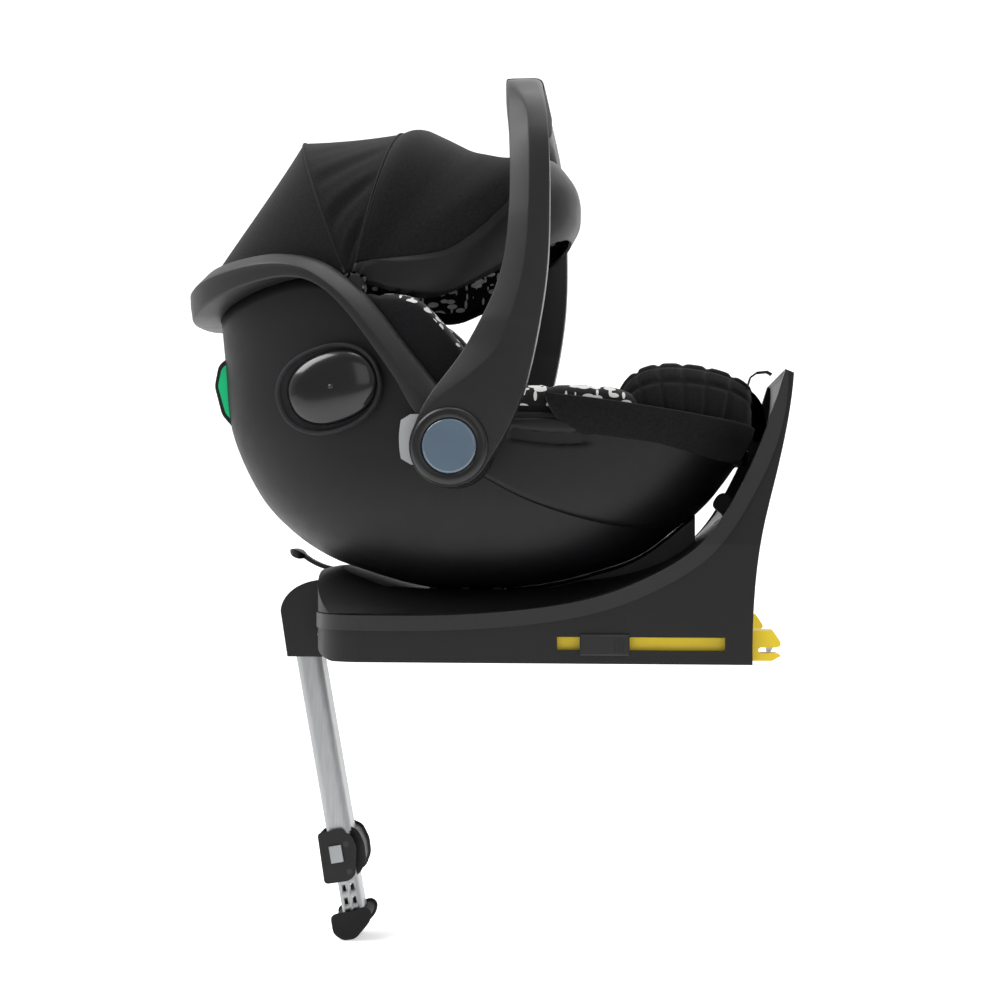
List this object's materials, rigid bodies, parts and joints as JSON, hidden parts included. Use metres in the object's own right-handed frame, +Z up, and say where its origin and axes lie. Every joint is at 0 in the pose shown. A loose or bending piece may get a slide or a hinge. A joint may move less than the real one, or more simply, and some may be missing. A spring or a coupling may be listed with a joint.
{
  "type": "infant car seat with ISOFIX base",
  "caption": "Infant car seat: reclined carrier with carry handle and folding canopy on an ISOFIX base with a support leg.",
  "frame": {"origin": "midway between the two vehicle anchor bars that the ISOFIX connectors grip, on the bars' axis", "axes": "+X towards the vehicle's backrest (the seat's foot end), +Y across to the far side in the view from the left, +Z up"},
  "size_m": [0.6719, 0.454, 0.9723],
  "materials": {
    "shell_plastic": "fine matte grain",
    "rim_plastic": "satin",
    "guide_green": "satin",
    "foam": "matte foam",
    "quilted_fabric": "quilted weave",
    "webbing": "woven webbing",
    "button_grey": "satin",
    "pod_gloss": "glossy",
    "handle_plastic": "satin",
    "grip_rubber": "soft matte",
    "hub_black": "satin",
    "hub_blue": "clear domed",
    "canopy_fabric": "woven melange",
    "base_plastic": "fine matte grain",
    "band_plastic": "satin",
    "steel": "zinc plated",
    "tube_aluminium": "anodised satin",
    "isofix_yellow": "yellow passivated",
    "slider_black": "satin"
  },
  "bodies": {
    "base": {"base_lower_shell": "base_plastic", "base_deck": "base_plastic", "base_trim_band": "band_plastic", "base_screws": "steel", "lever_pins": "steel", "leg_bracket": "base_plastic", "leg_hinge_pin": "steel"},
    "leg": {"leg_knuckle": "base_plastic", "leg_outer_tube": "tube_aluminium", "leg_clamp": "base_plastic"},
    "leg_lower": {"leg_inner_tube": "tube_aluminium", "leg_foot": "grip_rubber"},
    "leg_key": {"leg_clamp_key": "button_grey"},
    "isofix_left": {"isofix_arm_left": "isofix_yellow", "isofix_connector_left": "isofix_yellow"},
    "isofix_right": {"isofix_arm_right": "isofix_yellow", "isofix_connector_right": "isofix_yellow"},
    "slider_left": {"isofix_slider_left": "slider_black"},
    "slider_right": {"isofix_slider_right": "slider_black"},
    "hook_left": {"isofix_hook_left": "steel"},
    "hook_right": {"isofix_hook_right": "steel"},
    "latch": {"rear_latch": "base_plastic"},
    "lever": {"release_lever": "base_plastic"},
    "carrier": {"carrier_shell": "shell_plastic", "carrier_rim": "rim_plastic", "foam_body": "foam", "belt_guide_hook": "shell_plastic", "belt_guide_liner": "guide_green", "pod_bezel_left": "shell_plastic", "pod_bezel_right": "shell_plastic", "side_panel_left": "shell_plastic", "side_panel_right": "shell_plastic", "hub_mount_left": "shell_plastic", "hub_mount_right": "shell_plastic", "back_pad": "quilted_fabric", "foot_cushion": "quilted_fabric", "harness_straps": "webbing", "buckle_body": "hub_black", "adjuster_housing": "hub_black", "adjuster_strap": "webbing", "canopy_pivots": "hub_black", "canopy_rear_cloth": "canopy_fabric"},
    "handle": {"handle_frame": "handle_plastic", "handle_grip": "grip_rubber", "hub_caps": "hub_black", "hub_discs": "hub_blue"},
    "button_left": {"handle_button_left": "button_grey"},
    "button_right": {"handle_button_right": "button_grey"},
    "canopy_rear": {"canopy_bow_rear": "hub_black"},
    "canopy_front": {"canopy_bow_front": "hub_black", "canopy_middle_cloth": "canopy_fabric"},
    "visor": {"canopy_visor": "shell_plastic", "canopy_front_cloth": "canopy_fabric"},
    "headrest": {"headrest": "quilted_fabric"},
    "pod_left": {"pod_cover_left": "pod_gloss"},
    "pod_right": {"pod_cover_right": "pod_gloss"},
    "buckle_key": {"buckle_button": "button_grey"},
    "adjuster_key": {"adjuster_button": "button_grey"}
  },
  "joints": [
    {"name": "leg_fold", "type": "hinge", "parent": "base", "child": "leg", "pos_m": [-0.487, 0, 0.006], "axis": [0, -1, 0], "range_deg": [0, 80]},
    {"name": "leg_extend", "type": "slide", "parent": "leg", "child": "leg_lower", "axis": [0.1736, 0, -0.9848], "range_m": [-0.012, 0.1]},
    {"name": "leg_key_press", "type": "slide", "parent": "leg", "child": "leg_key", "axis": [0, 1, 0], "range_m": [0, 0.003], "stiffness_N_per_m": 400},
    {"name": "isofix_left_slide", "type": "slide", "parent": "base", "child": "isofix_left", "axis": [1, 0, 0], "range_m": [0, 0.085]},
    {"name": "isofix_right_slide", "type": "slide", "parent": "base", "child": "isofix_right", "axis": [1, 0, 0], "range_m": [0, 0.085]},
    {"name": "isofix_left_release", "type": "slide", "parent": "isofix_left", "child": "slider_left", "axis": [1, 0, 0], "range_m": [0, 0.008], "stiffness_N_per_m": 400},
    {"name": "isofix_right_release", "type": "slide", "parent": "isofix_right", "child": "slider_right", "axis": [1, 0, 0], "range_m": [0, 0.008], "stiffness_N_per_m": 400},
    {"name": "isofix_left_hook", "type": "hinge", "parent": "isofix_left", "child": "hook_left", "pos_m": [-0.002, -0.14, 0.0135], "axis": [0, -1, 0], "range_deg": [0, 25]},
    {"name": "isofix_right_hook", "type": "hinge", "parent": "isofix_right", "child": "hook_right", "pos_m": [-0.002, 0.14, 0.0135], "axis": [0, -1, 0], "range_deg": [0, 25]},
    {"name": "rear_latch_swing", "type": "hinge", "parent": "base", "child": "latch", "pos_m": [-0.032, 0, 0.134], "axis": [0, 1, 0], "range_deg": [0, 12], "stiffness_Nm_per_rad": 0.4},
    {"name": "release_lever_swing", "type": "hinge", "parent": "base", "child": "lever", "pos_m": [-0.482, 0, 0.077], "axis": [0, 1, 0], "range_deg": [0, 18], "stiffness_Nm_per_rad": 0.3},
    {"name": "carrier_lift", "type": "slide", "parent": "base", "child": "carrier", "axis": [0, 0, 1], "range_m": [0, 0.25]},
    {"name": "handle_swing", "type": "hinge", "parent": "carrier", "child": "handle", "pos_m": [-0.32, 0, 0.212], "axis": [0, 1, 0], "range_deg": [-120, 45]},
    {"name": "handle_left_release", "type": "slide", "parent": "carrier", "child": "button_left", "axis": [1, 0, 0], "range_m": [0, 0.006], "stiffness_N_per_m": 400},
    {"name": "handle_right_release", "type": "slide", "parent": "carrier", "child": "button_right", "axis": [1, 0, 0], "range_m": [0, 0.006], "stiffness_N_per_m": 400},
    {"name": "canopy_fold", "type": "hinge", "parent": "carrier", "child": "canopy_rear", "pos_m": [-0.426, 0, 0.386], "axis": [0, -1, 0], "range_deg": [0, 38], "deforming": ["canopy_rear_cloth"]},
    {"name": "canopy_fold_front", "type": "hinge", "parent": "canopy_rear", "child": "canopy_front", "pos_m": [-0.426, 0, 0.386], "axis": [0, -1, 0], "range_deg": [0, 34], "deforming": ["canopy_middle_cloth"]},
    {"name": "visor_fold", "type": "hinge", "parent": "canopy_front", "child": "visor", "pos_m": [-0.426, 0, 0.386], "axis": [0, -1, 0], "range_deg": [0, 45], "deforming": ["canopy_front_cloth"]},
    {"name": "headrest_height", "type": "slide", "parent": "carrier", "child": "headrest", "axis": [-0.648, 0, 0.7616], "range_m": [0, 0.036]},
    {"name": "pod_left_open", "type": "hinge", "parent": "carrier", "child": "pod_left", "pos_m": [-0.404, -0.184, 0.274], "axis": [0, 0, 1], "range_deg": [0, 25]},
    {"name": "pod_right_open", "type": "hinge", "parent": "carrier", "child": "pod_right", "pos_m": [-0.404, 0.184, 0.274], "axis": [0, 0, -1], "range_deg": [0, 25]},
    {"name": "buckle_press", "type": "slide", "parent": "carrier", "child": "buckle_key", "axis": [0, 0, -1], "range_m": [0, 0.003], "stiffness_N_per_m": 400},
    {"name": "adjuster_press", "type": "slide", "parent": "carrier", "child": "adjuster_key", "axis": [0, 0, -1], "range_m": [0, 0.001], "stiffness_N_per_m": 400}
  ],
  "couplings": [
    {"joint": "isofix_left_hook", "follows": "isofix_left_release", "rad_per_m": 54.54},
    {"joint": "isofix_right_hook", "follows": "isofix_right_release", "rad_per_m": 54.54},
    {"joint": "release_lever_swing", "follows": "rear_latch_swing", "ratio": 1.2},
    {"joint": "canopy_fold_front", "follows": "canopy_fold", "ratio": 0.8947},
    {"joint": "visor_fold", "follows": "canopy_fold", "ratio": 1.1842}
  ]
}
